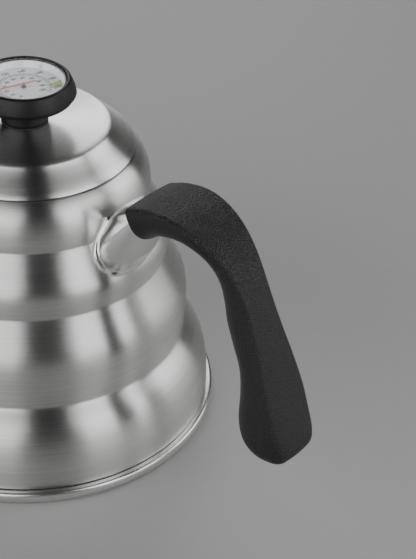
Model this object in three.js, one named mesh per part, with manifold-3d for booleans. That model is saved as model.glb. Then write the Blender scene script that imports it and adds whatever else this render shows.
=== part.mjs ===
// Gooseneck pour-over kettle with a stepped steel body, a one-armed moulded handle
// and a dial thermometer that doubles as the lid's knob.
//
// Units are millimetres. The kettle stands on z = 0 with its axis on Z, the handle
// points along +X and the spout along -X.
import * as THREE from 'three';
import { mergeVertices } from 'three/addons/utils/BufferGeometryUtils.js';
import Module from 'manifold-3d';

const wasm = await Module();
wasm.setup();

// ---------------------------------------------------------------- driving sizes
const WALL = 0.8;              // sheet thickness of body, lid and spout
const GAP = 0.3;               // clearance between touching pieces
const ROUND = 40;              // facets round the large turned pieces
const SMALL_ROUND = 24;        // facets round the small turned pieces

const BASE_RADIUS = 72;        // outside of the rolled rim that the kettle stands on
const BASE_RIM_HEIGHT = 4.9;
const FLOOR_THICKNESS = 3;     // heat-spreading sandwich base
const FOOT = { r: 69.3, z: BASE_RIM_HEIGHT + GAP };   // bottom edge of the body

// Each tier of the body is one curve from its lower crease to the next, as
// [control 1, control 2, end], each [radius, height].
const BODY_TIERS = [
  [[70.8, 30.2], [58.1, 33.0], [59.6, 36.0]],
  [[61.4, 56.9], [59.8, 53.3], [52.3, 69.0]],
  [[54.6, 81.1], [52.8, 78.4], [45.5, 92.8]],
  [[46.6, 100.5], [44.2, 107.0], [39.8, 110.4]],
];
const MOUTH_Z = 110.4;         // top edge of the body
const MOUTH_RADIUS = 37.2;     // clear radius inside the mouth ring
const MOUTH_RING_DEPTH = 7;

const LID_RIM = { r: 39.8, z: MOUTH_Z + GAP };
const LID_SHOULDER = [[38.8, 113.4], [34.0, 116.0], [31.6, 119.0]];
const LID_EDGE = [[31.0, 119.8], [30.0, 120.0], [27.5, 120.0]];
const LID_TOP = 120.2;         // height of the flat crown at its centre
const LID_HOLE_RADIUS = 4.5;
const SKIRT_RADIUS = 36.7;     // outside of the ring that drops into the mouth
const SKIRT_BOTTOM = 103;
const SKIRT_TOP = 112.4;

const KNOB_BOTTOM = 121.4;
const KNOB_TOP = 137.4;
const KNOB_WELL_RADIUS = 15.4;
const CASE_FLOOR = 130.7;      // underside of the thermometer's case
const CASE_RADIUS = 15.0;
const DIAL_Z = 133.4;          // face of the dial
const STEM_RADIUS = 3.9;       // threaded sleeve through knob and lid
const STEM_BORE = 2.5;
const STEM_BOTTOM = 112.5;
const PROBE_RADIUS = 2.0;
const PROBE_BORE = 1.5;
const PROBE_TOP = 121;
const PROBE_BOTTOM = 21.5;
const SPINDLE_RADIUS = 0.5;
const NEEDLE_ANGLE = -109;     // degrees about Z from +X: a cold kettle, about 20 degrees C
const NEEDLE_LENGTH = 11.4;
const NEEDLE_TAIL = 4.9;

// Spout centre line as [x, z, outside radius], from inside the wall to the tip.
const SPOUT_LINE = [
  [-56.0, 33.0, 12.5], [-70.0, 36.5, 11.2], [-83.0, 45.0, 9.3], [-92.0, 59.0, 7.6],
  [-98.5, 76.0, 6.5], [-106.5, 93.0, 5.8], [-119.0, 104.5, 5.3], [-132.0, 107.0, 5.0],
  [-142.0, 104.5, 4.9],
];

// Handle bracket: a pressed bowl from the body up to the grip. The foot is nearly an
// ellipse and the end a flat-topped D; top and bottom points are [x, z], flat is the
// share of the half width that the flat top takes, shoulder the depth of its widest line.
const BRACKET_FOOT = {
  top: [45.3, 100.2], bottom: [52.6, 80.7], halfWidth: 12.0, flat: 0.42, shoulder: 0.5,
};
const BRACKET_END = {
  top: [58.7, 113.6], bottom: [64.2, 98.6], halfWidth: 12.6, flat: 0.7, shoulder: 0.22,
};
const BRACKET_FLANGE = 1.2;
const BRACKET_WALL = 1.2;
const BRACKET_BULGE = 1.0;     // how far the bowl swells between foot and end

// Grip sections as [outer face x, z, inner face x, z, half width].
const GRIP_SECTIONS = [
  [58.9, 113.9, 64.6, 98.2, 12.7],
  [67.5, 117.3, 70.5, 103.6, 12.7],
  [77.5, 118.4, 78.5, 106.4, 12.6],
  [87.0, 116.0, 85.5, 106.3, 11.8],
  [95.5, 111.5, 91.2, 103.0, 10.0],
  [102.2, 105.0, 94.8, 97.2, 8.4],
  [107.0, 97.5, 96.6, 89.6, 7.6],
  [111.5, 88.5, 97.9, 81.8, 7.6],
  [115.5, 79.5, 101.2, 74.2, 8.4],
  [119.2, 70.5, 105.2, 66.0, 9.6],
  [122.8, 61.0, 106.4, 56.4, 10.8],
  [126.5, 51.5, 106.6, 46.6, 11.6],
  [129.5, 43.0, 108.8, 39.6, 11.2],
  [130.0, 38.3, 113.4, 35.6, 9.2],
  [126.5, 34.9, 118.0, 34.0, 5.0],
];
const TANG_LINE = [[55.0, 97.5], [62.0, 106.2], [70.0, 110.4], [79.0, 112.0]];
const TANG = { width: 12, thickness: 3, clearance: 0.35 };
const SCREW = { x: 73, z: 111.2, tilt: 14 };   // on the tang's middle line, degrees up

// ---------------------------------------------------------------- materials
const finish = (color, roughness, metalness) =>
  new THREE.MeshStandardMaterial({ color, roughness, metalness });
const materials = {
  brushedSteel: finish(0xc4c4c2, 0.32, 1),
  polishedSteel: finish(0xd2d2d0, 0.16, 1),
  innerSteel: finish(0xa9a9a7, 0.4, 1),
  handlePlastic: finish(0x1b1b1c, 0.62, 0),
  knobPlastic: finish(0x141415, 0.45, 0),
  dialWhite: finish(0xeceae4, 0.5, 0),
  bezelWhite: finish(0xdedfdc, 0.35, 0),
  needleRed: finish(0xc02a2a, 0.45, 0),
  glass: finish(0xe8f0f0, 0.05, 0),
  rubber: finish(0x202021, 0.8, 0),
  brass: finish(0xb08d3f, 0.35, 1),
  bimetal: finish(0x9b8a72, 0.4, 1),
};
materials.glass.transparent = true;
materials.glass.opacity = 0.3;

// ---------------------------------------------------------------- shape helpers
const degrees = THREE.MathUtils.degToRad;

/** Merge shared vertices and make the faces point outwards. */
function closed(geometry) {
  geometry.deleteAttribute('normal');
  geometry.deleteAttribute('uv');
  const merged = mergeVertices(geometry, 1e-4);
  const index = Array.from(merged.index.array);
  const corner = [0, 1, 2].map(() => new THREE.Vector3());
  const kept = [];
  let volume = 0;
  for (let i = 0; i < index.length; i += 3) {
    const [a, b, c] = index.slice(i, i + 3);
    if (a === b || b === c || c === a) continue;
    [a, b, c].forEach((v, k) => corner[k].fromBufferAttribute(merged.attributes.position, v));
    volume += corner[0].dot(corner[1].cross(corner[2]));
    kept.push(a, b, c);
  }
  merged.setIndex(volume < 0 ? kept.reverse() : kept);
  return merged;
}

/** Turn a closed profile of [radius, height] points about the Z axis. */
function turned(profile, segments = ROUND) {
  const points = [...profile, profile[0]].map(([r, z]) => new THREE.Vector2(r, z));
  return closed(new THREE.LatheGeometry(points, segments).rotateX(Math.PI / 2));
}

/** A plain ring or, with an inner radius of 0, a disc. */
function ring(inner, outer, bottom, top, segments = SMALL_ROUND) {
  return turned([[inner, bottom], [outer, bottom], [outer, top], [inner, top]], segments);
}

/** Follow curves given as [control 1, control 2, end] from a start point. */
function curved(start, curves, divisions) {
  const path = new THREE.Path();
  path.moveTo(...start);
  for (const [c1, c2, end] of curves) path.bezierCurveTo(...c1, ...c2, ...end);
  return path.getPoints(divisions).map((p) => [p.x, p.y]);
}

/** Move an outline sideways by a distance, to the left of its direction. */
function offset(outline, distance) {
  return outline.map((point, i) => {
    const before = outline[Math.max(i - 1, 0)];
    const after = outline[Math.min(i + 1, outline.length - 1)];
    const along = new THREE.Vector2(after[0] - before[0], after[1] - before[1]).normalize();
    return [point[0] - along.y * distance, point[1] + along.x * distance];
  });
}

/** Skin a row of sections, each a list of Vector3, and close both ends. */
function lofted(sections) {
  const sides = sections[0].length;
  const steps = sections.length - 1;
  const geometry = new THREE.CylinderGeometry(1, 1, 1, sides, steps);
  const position = geometry.attributes.position;
  for (let i = 0; i < position.count; i++) {
    const [x, y, z] = [position.getX(i), position.getY(i), position.getZ(i)];
    const section = sections[Math.round((0.5 - y) * steps)];
    const side = (Math.round(Math.atan2(x, z) / (2 * Math.PI) * sides) + sides) % sides;
    const isCentre = Math.hypot(x, z) < 0.5;
    const centre = () => section.reduce((sum, p) => sum.add(p), new THREE.Vector3())
      .divideScalar(sides);
    const point = isCentre ? centre() : section[side];
    position.setXYZ(i, point.x, point.y, point.z);
  }
  return closed(geometry);
}

/** Place a flat outline of [across, depth] between two points of the XZ plane. */
function section(outline, top, bottom, halfWidth) {
  return outline.map(([across, depth]) => new THREE.Vector3(
    THREE.MathUtils.lerp(top[0], bottom[0], depth),
    across * halfWidth,
    THREE.MathUtils.lerp(top[1], bottom[1], depth),
  ));
}

/** Round sections of a tube whose centre line lies in the XZ plane. */
function tubeSections(line, radiusChange, steps, sides) {
  const curve = new THREE.CatmullRomCurve3(
    line.map(([x, z, r]) => new THREE.Vector3(x, r, z)), false, 'centripetal');
  return Array.from({ length: steps + 1 }, (_, i) => {
    const at = curve.getPoint(i / steps);
    const along = curve.getTangent(i / steps).setY(0).normalize();
    const up = new THREE.Vector3(-along.z, 0, along.x);
    return Array.from({ length: sides }, (_, k) => {
      const angle = 2 * Math.PI * k / sides;
      const r = at.y + radiusChange;
      return new THREE.Vector3(at.x, 0, at.z)
        .addScaledVector(up, r * Math.cos(angle))
        .add(new THREE.Vector3(0, r * Math.sin(angle), 0));
    });
  });
}

const toSolid = (geometry) => new wasm.Manifold(new wasm.Mesh({
  numProp: 3,
  vertProperties: new Float32Array(geometry.attributes.position.array),
  triVerts: new Uint32Array(geometry.index.array),
}));

function toGeometry(solid) {
  const { vertProperties, triVerts } = solid.getMesh();
  const geometry = new THREE.BufferGeometry();
  geometry.setAttribute('position', new THREE.BufferAttribute(vertProperties, 3));
  geometry.setIndex(new THREE.BufferAttribute(triVerts, 1));
  return geometry;
}

/** Take cutters away from a body. */
function cut(body, ...cutters) {
  const result = cutters.reduce((solid, cutter) => solid.subtract(toSolid(cutter)), toSolid(body));
  return toGeometry(result);
}

const group = new THREE.Group();

function add(name, geometry, material, parent = group) {
  const mesh = new THREE.Mesh(geometry, material);
  mesh.name = name;
  parent.add(mesh);
  return mesh;
}

// ---------------------------------------------------------------- kettle body
const bodyOutside = curved([FOOT.r, FOOT.z], BODY_TIERS, 5);
const bodyInside = offset(bodyOutside, WALL);
bodyInside[0][1] = FOOT.z;
bodyInside[bodyInside.length - 1][1] = MOUTH_Z;

/** The space that the body fills, grown outwards, for trimming what meets it. */
const bodyCore = (growth) => {
  const outline = offset(bodyOutside, -growth);
  return turned([[0, FOOT.z - 1], [outline[0][0], FOOT.z - 1], ...outline, [0, MOUTH_Z]]);
};

const spoutOutside = (growth) => lofted(tubeSections(SPOUT_LINE, growth, 22, 14));

add('body_shell',
  cut(turned([...bodyOutside, ...bodyInside.reverse()]), spoutOutside(GAP)),
  materials.brushedSteel);

add('base_plate', turned([
  [0, 0], [66.5, 0], [67.7, 1.2], [67.7, FLOOR_THICKNESS], [0, FLOOR_THICKNESS],
]), materials.innerSteel);

const rimSection = curved([68.1, 0], [
  [[70.6, 0], [BASE_RADIUS, 0.5], [BASE_RADIUS, 2.6]],
  [[BASE_RADIUS, 4.2], [71.6, BASE_RIM_HEIGHT], [70.6, BASE_RIM_HEIGHT]],
], 3);
add('base_rim', turned([...rimSection, [68.1, BASE_RIM_HEIGHT]]), materials.polishedSteel);

const RING_WALL = 0.8;
add('mouth_ring', turned([
  [MOUTH_RADIUS, MOUTH_Z - MOUTH_RING_DEPTH],
  [MOUTH_RADIUS + RING_WALL, MOUTH_Z - MOUTH_RING_DEPTH],
  [MOUTH_RADIUS + RING_WALL, MOUTH_Z - RING_WALL],
  [MOUTH_RADIUS + 1.4, MOUTH_Z - RING_WALL],
  [MOUTH_RADIUS + 1.4, MOUTH_Z],
  [MOUTH_RADIUS, MOUTH_Z],
]), materials.brushedSteel);

// ---------------------------------------------------------------- spout
const waterSpace = bodyCore(-WALL - GAP);
const spoutBore = lofted(tubeSections(
  [[-50, 31.5, 12.5], ...SPOUT_LINE, [-147, 102.2, 4.9]], -WALL, 26, 14));
add('spout_tube', cut(spoutOutside(0), spoutBore, waterSpace), materials.brushedSteel);

// ---------------------------------------------------------------- handle bracket
/** A flat top with rounded corners over a round bottom, as [across, depth]. */
function bowlOutline(flat, shoulder) {
  const corner = flat + (1 - flat) * 0.6;
  const flank = shoulder + (1 - shoulder) * 0.55;
  const path = new THREE.Path();
  path.moveTo(-flat, 0);
  path.lineTo(flat, 0);
  path.bezierCurveTo(corner, 0, 1, shoulder * 0.4, 1, shoulder);
  path.bezierCurveTo(1, flank, 0.58, 1, 0, 1);
  path.bezierCurveTo(-0.58, 1, -1, flank, -1, shoulder);
  path.bezierCurveTo(-1, shoulder * 0.4, -corner, 0, -flat, 0);
  return path.getPoints(4).slice(0, -1).map((p) => [p.x, p.y]);
}

const mix = THREE.MathUtils.lerp;
const mixPoint = (a, b, t) => [mix(a[0], b[0], t), mix(a[1], b[1], t)];

/** Bracket sections at [share of the way from foot to end, growth all round]. */
function bowl(steps) {
  return lofted(steps.map(([t, growth]) => {
    const [foot, end] = [BRACKET_FOOT, BRACKET_END];
    const morph = THREE.MathUtils.clamp(t, 0, 1);
    const top = mixPoint(foot.top, end.top, t);
    const bottom = mixPoint(foot.bottom, end.bottom, t);
    const share = growth / Math.hypot(top[0] - bottom[0], top[1] - bottom[1]);
    const outline = bowlOutline(mix(foot.flat, end.flat, morph),
      mix(foot.shoulder, end.shoulder, morph));
    return section(outline, mixPoint(top, bottom, -share), mixPoint(top, bottom, 1 + share),
      mix(foot.halfWidth, end.halfWidth, morph) + growth);
  }));
}
const bracketOutside = bowl([
  [-0.5, BRACKET_FLANGE], [0.07, BRACKET_FLANGE], [0.11, 0.2],
  [0.3, 0.8 * BRACKET_BULGE], [0.55, BRACKET_BULGE], [0.8, 0.5 * BRACKET_BULGE], [0.97, 0],
]);
const bracketInside = bowl([[-0.8, -BRACKET_WALL], [0.4, -BRACKET_WALL], [1.4, -BRACKET_WALL]]);
add('handle_bracket', cut(bracketOutside, bracketInside, bodyCore(GAP)),
  materials.polishedSteel);

// ---------------------------------------------------------------- handle
/** A flat bar of rectangular section bent along a line of the XZ plane. */
function bentBar(line, width, thickness, steps) {
  const curve = new THREE.SplineCurve(line.map(([x, z]) => new THREE.Vector2(x, z)));
  return lofted(Array.from({ length: steps + 1 }, (_, i) => {
    const at = curve.getPoint(i / steps);
    const side = curve.getTangent(i / steps).rotateAround(new THREE.Vector2(), Math.PI / 2);
    return [[1, 1], [-1, 1], [-1, -1], [1, -1]].map(([a, b]) => new THREE.Vector3(
      at.x + side.x * b * thickness / 2, a * width / 2, at.y + side.y * b * thickness / 2));
  }));
}

// Broad flat outer face, crisp ridges, sides that close in to a rounded inner face.
const gripOutline = (() => {
  const path = new THREE.Path();
  path.moveTo(-0.86, 0.01);
  path.quadraticCurveTo(0, -0.03, 0.86, 0.01);
  path.quadraticCurveTo(1, 0.03, 1, 0.18);
  path.bezierCurveTo(0.99, 0.7, 0.7, 1, 0, 1);
  path.bezierCurveTo(-0.7, 1, -0.99, 0.7, -1, 0.18);
  path.quadraticCurveTo(-1, 0.03, -0.86, 0.01);
  return path.getPoints(4).slice(0, -1).map((p) => [p.x, p.y]);
})();

const gripAt = (() => {
  const outer = new THREE.SplineCurve(GRIP_SECTIONS.map(([x, z]) => new THREE.Vector2(x, z)));
  const inner = new THREE.SplineCurve(GRIP_SECTIONS.map(([, , x, z]) => new THREE.Vector2(x, z)));
  const width = new THREE.SplineCurve(GRIP_SECTIONS.map((s, i) => new THREE.Vector2(i, s[4])));
  return (t) => section(gripOutline, outer.getPoint(t).toArray(), inner.getPoint(t).toArray(),
    width.getPoint(t).y);
})();
const GRIP_STEPS = 28;
const gripBlank = lofted(Array.from({ length: GRIP_STEPS + 1 }, (_, i) => gripAt(i / GRIP_STEPS)));

// The screw goes up through the underside of the grip, square to the tang.
const screwFrame = new THREE.Matrix4().makeRotationY(-degrees(SCREW.tilt))
  .setPosition(SCREW.x, 0, SCREW.z);
const atScrew = (geometry) => geometry.applyMatrix4(screwFrame);
const SCREW_SHANK = 1.8;
const SCREW_HEAD = { radius: 3.4, bottom: -5.2, top: -3.0 };
const INSERT = { radius: 3.0, bottom: 1.9, top: 4.6 };

const tangSlot = bentBar([[50, 91], ...TANG_LINE.slice(1, -1), [80, 112.1]],
  TANG.width + 2 * TANG.clearance, TANG.thickness + 2 * TANG.clearance, 6);
add('handle_grip', cut(gripBlank,
  tangSlot,
  atScrew(ring(0, SCREW_SHANK + 0.4, -12, 0, 16)),
  atScrew(ring(0, SCREW_HEAD.radius + 0.4, -12, SCREW_HEAD.top + 0.9, 16)),
  atScrew(ring(0, INSERT.radius + GAP, 0, INSERT.top + GAP, 16)),
), materials.handlePlastic);

add('handle_tang', cut(bentBar(TANG_LINE, TANG.width, TANG.thickness, 6),
  atScrew(ring(0, SCREW_SHANK + GAP, -6, 6, 16))), materials.innerSteel);

add('handle_screw', atScrew(turned([
  [0, SCREW_HEAD.bottom + 1.1], [1.2, SCREW_HEAD.bottom + 1.1], [1.2, SCREW_HEAD.bottom],
  [2.6, SCREW_HEAD.bottom], [SCREW_HEAD.radius, SCREW_HEAD.bottom + 0.7],
  [SCREW_HEAD.radius, SCREW_HEAD.top], [SCREW_SHANK, SCREW_HEAD.top],
  [SCREW_SHANK, 4.2], [0, 4.2],
], 16)), materials.innerSteel);
add('screw_washer', atScrew(ring(SCREW_SHANK + GAP, SCREW_HEAD.radius,
  SCREW_HEAD.top + GAP, SCREW_HEAD.top + 0.6, 16)), materials.innerSteel);
add('threaded_insert', atScrew(ring(SCREW_SHANK + GAP, INSERT.radius,
  INSERT.bottom, INSERT.top, 16)), materials.brass);

// ---------------------------------------------------------------- lid
const lidOutside = curved([LID_RIM.r, LID_RIM.z], [LID_SHOULDER, LID_EDGE], 5);
const lidInside = offset(lidOutside, WALL);
lidInside[0][1] = LID_RIM.z;
add('lid_shell', turned([
  ...lidOutside, [LID_HOLE_RADIUS, LID_TOP], [LID_HOLE_RADIUS, LID_TOP - WALL],
  ...lidInside.reverse(),
]), materials.brushedSteel);
add('lid_skirt', ring(SKIRT_RADIUS - WALL, SKIRT_RADIUS, SKIRT_BOTTOM, SKIRT_TOP, ROUND),
  materials.brushedSteel);

// ---------------------------------------------------------------- thermometer and knob
add('sealing_washer', ring(LID_HOLE_RADIUS, 8.5, LID_TOP + GAP, KNOB_BOTTOM - GAP),
  materials.rubber);
add('knob_grip', turned([
  [4.4, KNOB_BOTTOM], [8.6, KNOB_BOTTOM], [8.8, 125.2], [10.4, 127.6], [13.5, 128.6],
  [17.6, 129.9], [18.8, 131.7], [18.3, 133.6], [16.9, KNOB_TOP - 0.5], [16.2, KNOB_TOP],
  [KNOB_WELL_RADIUS, KNOB_TOP], [KNOB_WELL_RADIUS, CASE_FLOOR - GAP], [4.4, CASE_FLOOR - GAP],
]), materials.knobPlastic);
add('thermometer_case', turned([
  [STEM_BORE, STEM_BOTTOM], [STEM_RADIUS, STEM_BOTTOM], [STEM_RADIUS, CASE_FLOOR],
  [CASE_RADIUS, CASE_FLOOR], [CASE_RADIUS, DIAL_Z - 0.8], [CASE_RADIUS - WALL, DIAL_Z - 0.8],
  [CASE_RADIUS - WALL, CASE_FLOOR + WALL], [STEM_BORE, CASE_FLOOR + WALL],
], SMALL_ROUND), materials.innerSteel);
const NUT = { radius: 7.2, bottom: 114.5, top: 117.9 };
add('nut_washer', ring(STEM_RADIUS + GAP, 8.4, NUT.top + GAP, LID_TOP - WALL - GAP),
  materials.innerSteel);
add('clamp_nut', cut(ring(0, NUT.radius, NUT.bottom, NUT.top, 6),
  ring(0, STEM_RADIUS + GAP, NUT.bottom - 1, NUT.top + 1)), materials.innerSteel);

add('dial_plate', ring(0.95, 14.8, DIAL_Z - 0.5, DIAL_Z, 32), materials.dialWhite);
add('bezel_ring', turned([
  [13.8, DIAL_Z + GAP], [15.1, DIAL_Z + GAP], [15.1, 135.7], [14.6, 135.7],
], 32), materials.bezelWhite);
add('lens_gasket', ring(14.5, 15.1, 136.0, 136.3, 32), materials.rubber);
add('glass_lens', ring(0, 15.1, 136.6, 137.1, 32), materials.glass);

add('probe_tube', ring(PROBE_BORE, PROBE_RADIUS, PROBE_BOTTOM, PROBE_TOP, 16),
  materials.polishedSteel);
add('probe_tip', turned([
  [0, PROBE_BOTTOM - 1.9], [1.2, PROBE_BOTTOM - 1.7], [PROBE_RADIUS, PROBE_BOTTOM - 0.9],
  [PROBE_RADIUS, PROBE_BOTTOM - GAP], [PROBE_BORE - GAP, PROBE_BOTTOM - GAP],
  [PROBE_BORE - GAP, PROBE_BOTTOM + 1.2], [0, PROBE_BOTTOM + 1.2],
], 16), materials.polishedSteel);
add('spindle_bush', ring(0.6, STEM_BORE - GAP, 125.5, 128, 16), materials.brass);

/** The bimetal strip: a tight helix inside the lower part of the probe. */
class Helix extends THREE.Curve {
  constructor(radius, bottom, top, turns) {
    super();
    Object.assign(this, { radius, bottom, top, turns });
  }

  getPoint(t, target = new THREE.Vector3()) {
    const angle = 2 * Math.PI * this.turns * t;
    return target.set(this.radius * Math.cos(angle), this.radius * Math.sin(angle),
      THREE.MathUtils.lerp(this.bottom, this.top, t));
  }
}
const COIL = { radius: 0.85, bottom: 24, top: 58, turns: 8 };
const strip = new THREE.Shape([[-0.12, -0.35], [0.12, -0.35], [0.12, 0.35], [-0.12, 0.35]]
  .map(([x, y]) => new THREE.Vector2(x, y)));
add('bimetal_coil', closed(new THREE.ExtrudeGeometry(strip, {
  extrudePath: new Helix(COIL.radius, COIL.bottom, COIL.top, COIL.turns),
  steps: COIL.turns * 10,
  bevelEnabled: false,
})), materials.bimetal);

// ---------------------------------------------------------------- needle
const HUB = { radius: 1.2, bottom: 133.9, top: 134.5 };
add('spindle', ring(0, SPINDLE_RADIUS, COIL.top + 1, HUB.bottom - GAP, 12),
  materials.innerSteel);
add('needle_hub', ring(0, HUB.radius, HUB.bottom, HUB.top, 16), materials.innerSteel);

const needleShape = new THREE.Shape();
needleShape.moveTo(NEEDLE_LENGTH, 0);
needleShape.lineTo(1.3, 0.5);
needleShape.absarc(0, 0, 1.4, degrees(21), degrees(159), false);
needleShape.lineTo(-NEEDLE_TAIL, 0.35);
needleShape.lineTo(-NEEDLE_TAIL, -0.35);
needleShape.absarc(0, 0, 1.4, degrees(201), degrees(339), false);
needleShape.lineTo(1.3, -0.5);
const needle = add('needle', closed(new THREE.ExtrudeGeometry(needleShape, {
  depth: 0.3, bevelEnabled: false, curveSegments: 6,
})), materials.needleRed);
needle.position.z = HUB.top + GAP;
needle.rotation.z = degrees(NEEDLE_ANGLE);

export default group;
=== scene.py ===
# %% [markdown]
# # A gooseneck kettle
# The kettle is a stack of thin turned shells: a stepped body, a lid and a rolled base rim.
# A hollow spout leaves it on one side and a moulded handle on the other. The lid's knob is
# a dial thermometer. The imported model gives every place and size; this script makes the
# fine surfaces and the finishes around it.

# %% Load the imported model
import math

import bmesh
import bpy
from mathutils import Matrix, Vector


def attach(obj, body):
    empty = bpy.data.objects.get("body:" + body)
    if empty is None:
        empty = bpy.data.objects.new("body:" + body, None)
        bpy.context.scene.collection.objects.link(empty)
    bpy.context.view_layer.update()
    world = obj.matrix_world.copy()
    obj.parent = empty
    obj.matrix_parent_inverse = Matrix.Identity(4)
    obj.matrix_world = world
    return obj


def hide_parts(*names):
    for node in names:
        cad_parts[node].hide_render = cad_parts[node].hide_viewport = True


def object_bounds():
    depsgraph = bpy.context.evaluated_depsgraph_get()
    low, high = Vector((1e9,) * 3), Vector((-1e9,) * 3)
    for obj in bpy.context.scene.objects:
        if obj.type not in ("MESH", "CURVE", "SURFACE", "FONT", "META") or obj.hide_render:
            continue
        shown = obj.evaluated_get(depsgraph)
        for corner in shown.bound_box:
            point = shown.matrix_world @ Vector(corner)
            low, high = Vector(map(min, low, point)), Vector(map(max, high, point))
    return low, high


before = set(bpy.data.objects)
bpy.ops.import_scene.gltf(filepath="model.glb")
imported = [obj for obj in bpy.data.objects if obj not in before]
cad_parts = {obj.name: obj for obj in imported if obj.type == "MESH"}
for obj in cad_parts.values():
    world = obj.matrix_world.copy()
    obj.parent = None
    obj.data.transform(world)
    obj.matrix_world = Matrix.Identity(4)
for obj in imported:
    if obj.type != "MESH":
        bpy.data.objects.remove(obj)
cad_box = [list(corner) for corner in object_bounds()]
MM = 0.001

# %% [markdown]
# ## Camera
# The camera looks down on the handle side of the kettle from about 0.7 m. A camera is
# turned about its own view line first, then tilted, then turned about the vertical, so
# three plain angles describe it.

# %% Camera
CAMERA_PLACE = (0.38775, -0.38524, 0.43570)
CAMERA_PITCH = 35.145        # degrees below the horizon
CAMERA_HEADING = 38.0        # degrees to the left of +Y
CAMERA_ROLL = 2.697
FOCAL_SHARE = 3.1179         # focal length over the picture's longer side


def rotation(degrees, axis):
    return Matrix.Rotation(math.radians(degrees), 4, axis)


camera_data = bpy.data.cameras.new("camera")
camera_data.sensor_width = 36
camera_data.lens = 36 * FOCAL_SHARE
camera_data.clip_start = 0.01
camera = bpy.data.objects.new("camera", camera_data)
camera.matrix_world = (
    Matrix.Translation(CAMERA_PLACE)
    @ rotation(CAMERA_HEADING, "Z")
    @ rotation(90 - CAMERA_PITCH, "X")
    @ rotation(CAMERA_ROLL, "Z")
)
bpy.context.scene.collection.objects.link(camera)
bpy.context.scene.camera = camera
print("camera lens:", round(camera_data.lens, 1), "mm")

# %% [markdown]
# ## Shader maths
# Finishes are easier to read as sums than as boxes and wires. `Wire` wraps one output
# socket, and its operators add Math nodes. `Finish` owns a material, makes any node from
# its type, settings and inputs, and sets sockets of the main shader.

# %% Shader helpers
class Wire:
    """One output socket. Arithmetic on it adds Math nodes."""

    def __init__(self, finish, socket):
        self.finish = finish
        self.socket = socket

    def maths(self, operation, *values):
        """A Math node on these values."""
        return self.finish.node("Math", {"operation": operation}, dict(enumerate(values)))

    def __add__(self, other):
        return self.maths("ADD", self, other)

    def __sub__(self, other):
        return self.maths("SUBTRACT", self, other)

    def __mul__(self, other):
        return self.maths("MULTIPLY", self, other)

    def __truediv__(self, other):
        return self.maths("DIVIDE", self, other)

    def __rsub__(self, other):
        return self.maths("SUBTRACT", other, self)

    def __rtruediv__(self, other):
        return self.maths("DIVIDE", other, self)

    __radd__ = __add__
    __rmul__ = __mul__

    def above(self, edge):
        return self.maths("GREATER_THAN", self, edge)

    def below(self, edge):
        return self.maths("LESS_THAN", self, edge)

    def root(self):
        return self.maths("SQRT", self)


class Finish:
    """A material built round one Principled shader."""

    def __init__(self, name, color, roughness, metallic=0.0, **constants):
        self.material = bpy.data.materials.new(name)
        self.material.use_nodes = True
        self.tree = self.material.node_tree
        self.shader = self.tree.nodes["Principled BSDF"]
        self.set("Base Color", (*color, 1.0))
        self.set("Roughness", roughness)
        self.set("Metallic", metallic)
        for socket, value in constants.items():
            self.set(socket.replace("_", " "), value)

    def put(self, socket, value):
        if isinstance(value, Wire):
            self.tree.links.new(value.socket, socket)
        else:
            socket.default_value = value

    def set(self, socket, value):
        self.put(self.shader.inputs[socket], value)

    def node(self, kind, settings=None, inputs=None, output=0):
        made = self.tree.nodes.new("ShaderNode" + kind)
        for name, value in (settings or {}).items():
            setattr(made, name, value)
        for name, value in (inputs or {}).items():
            self.put(made.inputs[name], value)
        return Wire(self, made.outputs[output])

    def place(self):
        """Object coordinates in metres: the whole point, then its x, y and z."""
        point = self.node("TexCoord", output="Object")
        split = self.node("SeparateXYZ", inputs={0: point})
        parts = split.socket.node.outputs
        return point, Wire(self, parts[0]), Wire(self, parts[1]), Wire(self, parts[2])

    def noise(self, vector, scale, detail=2.0, roughness=0.5):
        return self.node("TexNoise", inputs={
            "Vector": vector, "Scale": scale, "Detail": detail, "Roughness": roughness})

    def bump(self, height, distance, strength=1.0):
        normal = self.node("Bump", inputs={
            "Height": height, "Distance": distance, "Strength": strength})
        self.set("Normal", normal)

    def blend_colors(self, factor, first, second):
        """Mix two colours; a colour is a triple or a wire."""
        first, second = (c if isinstance(c, Wire) else (*c, 1.0) for c in (first, second))
        return self.node("Mix", {"data_type": "RGBA"}, {0: factor, 6: first, 7: second}, 2)


print("shader helpers ready")

# %% [markdown]
# ## Brushed steel
# The shells are brushed while they spin, so the marks run round the axis. Grooves like that
# spread a reflection across them and keep it sharp along them, which is what Anisotropic
# does; a quarter turn of it makes the spread run up and down the wall. The marks are noise
# read in coordinates that wind round the axis: slow along the mark and fast across it.

# %% Turned, brushed steel
QUARTER_TURN = 0.25          # Anisotropic Rotation counts whole turns
GROOVE_DEPTH = 0.02 * MM
ROUGHNESS_SWING = 0.12


def shaded(color, share):
    """A colour made darker or lighter, none of its parts past 1."""
    return tuple(min(1.0, c * share) for c in color)


def turned_steel(name, color, roughness, spread, marks, shade=0.30):
    """Steel brushed round the Z axis. marks is the number of grooves per metre."""
    steel = Finish(name, color, roughness, 1.0,
                   Anisotropic=spread, Anisotropic_Rotation=QUARTER_TURN)
    _, x, y, z = steel.place()
    radius = (x * x + y * y).root()
    across = z - radius

    def grooves(per_metre, along, detail, rough):
        """Noise drawn out along the brushing; along is how fast it changes that way."""
        winding = steel.node("CombineXYZ", inputs={
            0: x / radius * along, 1: y / radius * along, 2: across * per_metre})
        return steel.noise(winding, 1.0, detail, rough)

    broad = grooves(marks * 0.35, 0.9, 3.0, 0.6)
    fine = grooves(marks, 2.2, 2.0, 0.65)
    grain = broad * 0.3 + fine * 0.7
    steel.set("Base Color", steel.blend_colors(
        grain, shaded(color, 1 - shade), shaded(color, 1 + shade)))
    steel.set("Roughness", roughness - ROUGHNESS_SWING / 2 + grain * ROUGHNESS_SWING)
    steel.bump(grain, GROOVE_DEPTH, 0.35)
    return steel.material


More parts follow.
